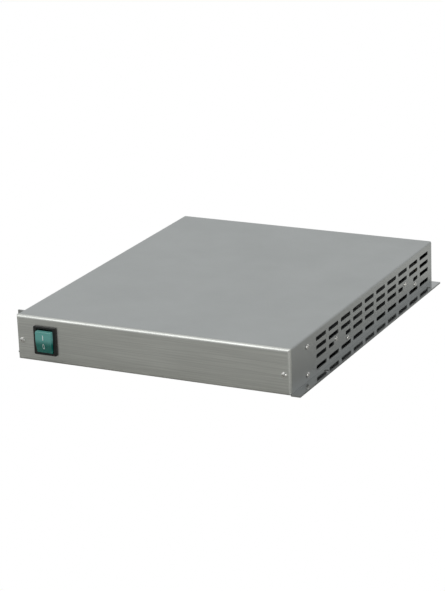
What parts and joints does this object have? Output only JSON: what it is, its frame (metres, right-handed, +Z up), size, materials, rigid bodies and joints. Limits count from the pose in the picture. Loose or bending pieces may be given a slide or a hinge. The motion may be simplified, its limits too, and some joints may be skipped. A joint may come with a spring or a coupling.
{
  "type": "compact uninterruptible power supply",
  "caption": "Flat satin metal power supply case with slotted sides, base flanges and a green rocker switch in its front panel; fan, mains inlet, outlets and breaker at the rear.",
  "frame": {"origin": "centre of the base tray's underside, midway between the side walls and between the front panel's face and the cover's rear edge", "axes": "+Z up; -Y out of the front panel, so +Y points to the rear panel; +X to the right seen from the front"},
  "size_m": [0.302, 0.3643, 0.044],
  "materials": {
    "tray_zinc": "bright rolled sheet",
    "cover_steel": "satin",
    "panel_aluminium": "brushed along its length",
    "nickel": "bright plated",
    "black_plastic": "moulded, slightly glossy",
    "green_lens": "translucent green",
    "amber_glass": "clear neon bulb",
    "fuse_glass": "clear tube with plated caps",
    "brass": "machined",
    "battery_case": "moulded, matt",
    "board_green": "glass laminate with green lacquer",
    "ferrite": "matt ferrite",
    "copper_winding": "lacquered copper wire",
    "heatsink_aluminium": "extruded",
    "capacitor_sleeve": "shrink sleeve",
    "relay_blue": "moulded",
    "red_lead": "insulated wire",
    "black_lead": "insulated wire"
  },
  "bodies": {
    "case": {"base_tray": "tray_zinc", "front_bracket_left": "tray_zinc", "front_bracket_right": "tray_zinc", "rear_bracket_left": "tray_zinc", "rear_bracket_right": "tray_zinc", "side_lug": "cover_steel", "battery_strap": "black_plastic", "top_cover": "cover_steel", "rear_panel": "cover_steel", "front_panel": "panel_aluminium", "panel_screw_left": "nickel", "cover_screw_left_low": "nickel", "cover_screw_left_high": "nickel", "tab_screw_left_1": "nickel", "tab_screw_left_2": "nickel", "tab_screw_left_3": "nickel", "tab_screw_left_4": "nickel", "rear_screw_left_low": "nickel", "rear_screw_left_high": "nickel", "panel_screw_right": "nickel", "cover_screw_right_low": "nickel", "cover_screw_right_high": "nickel", "tab_screw_right_1": "nickel", "tab_screw_right_2": "nickel", "tab_screw_right_3": "nickel", "tab_screw_right_4": "nickel", "rear_screw_right_low": "nickel", "rear_screw_right_high": "nickel", "fan_guard": "nickel", "breaker_nut": "nickel", "switch_housing": "black_plastic", "fan_frame": "black_plastic", "power_inlet": "black_plastic", "outlet_1": "black_plastic", "outlet_2": "black_plastic", "outlet_3": "black_plastic", "breaker_body": "black_plastic", "switch_lamp": "amber_glass", "switch_terminal_upper": "brass", "switch_terminal_lower": "brass", "earth_stud": "brass", "earth_nut": "brass", "battery_front": "battery_case", "battery_rear": "battery_case", "main_board": "board_green", "transformer_core": "ferrite", "transformer_coil": "copper_winding", "choke": "copper_winding", "heatsink": "heatsink_aluminium", "capacitor_1": "capacitor_sleeve", "capacitor_2": "capacitor_sleeve", "relay": "relay_blue", "battery_lead_red": "red_lead", "battery_lead_black": "black_lead", "switch_lead": "black_lead"},
    "rocker": {"switch_rocker": "green_lens"},
    "fan_impeller": {"fan_rotor": "black_plastic"},
    "reset_button": {"breaker_button": "black_plastic"},
    "fuse_carrier": {"fuse_drawer": "black_plastic", "fuse": "fuse_glass"}
  },
  "joints": [
    {"name": "rocker_tilt", "type": "hinge", "parent": "case", "child": "rocker", "pos_m": [-0.11, -0.1705, 0.0219], "axis": [-1, 0, 0], "range_deg": [0, 13]},
    {"name": "fan_spin", "type": "hinge", "parent": "case", "child": "fan_impeller", "pos_m": [-0.1056, 0.172, 0.022], "axis": [0, 1, 0], "continuous": true},
    {"name": "reset_press", "type": "slide", "parent": "case", "child": "reset_button", "axis": [0, -1, 0], "range_m": [0, 0.003], "stiffness_N_per_m": 400, "springref_m": -0.002},
    {"name": "fuse_drawer_slide", "type": "slide", "parent": "case", "child": "fuse_carrier", "axis": [0, 1, 0], "range_m": [0, 0.018]}
  ]
}
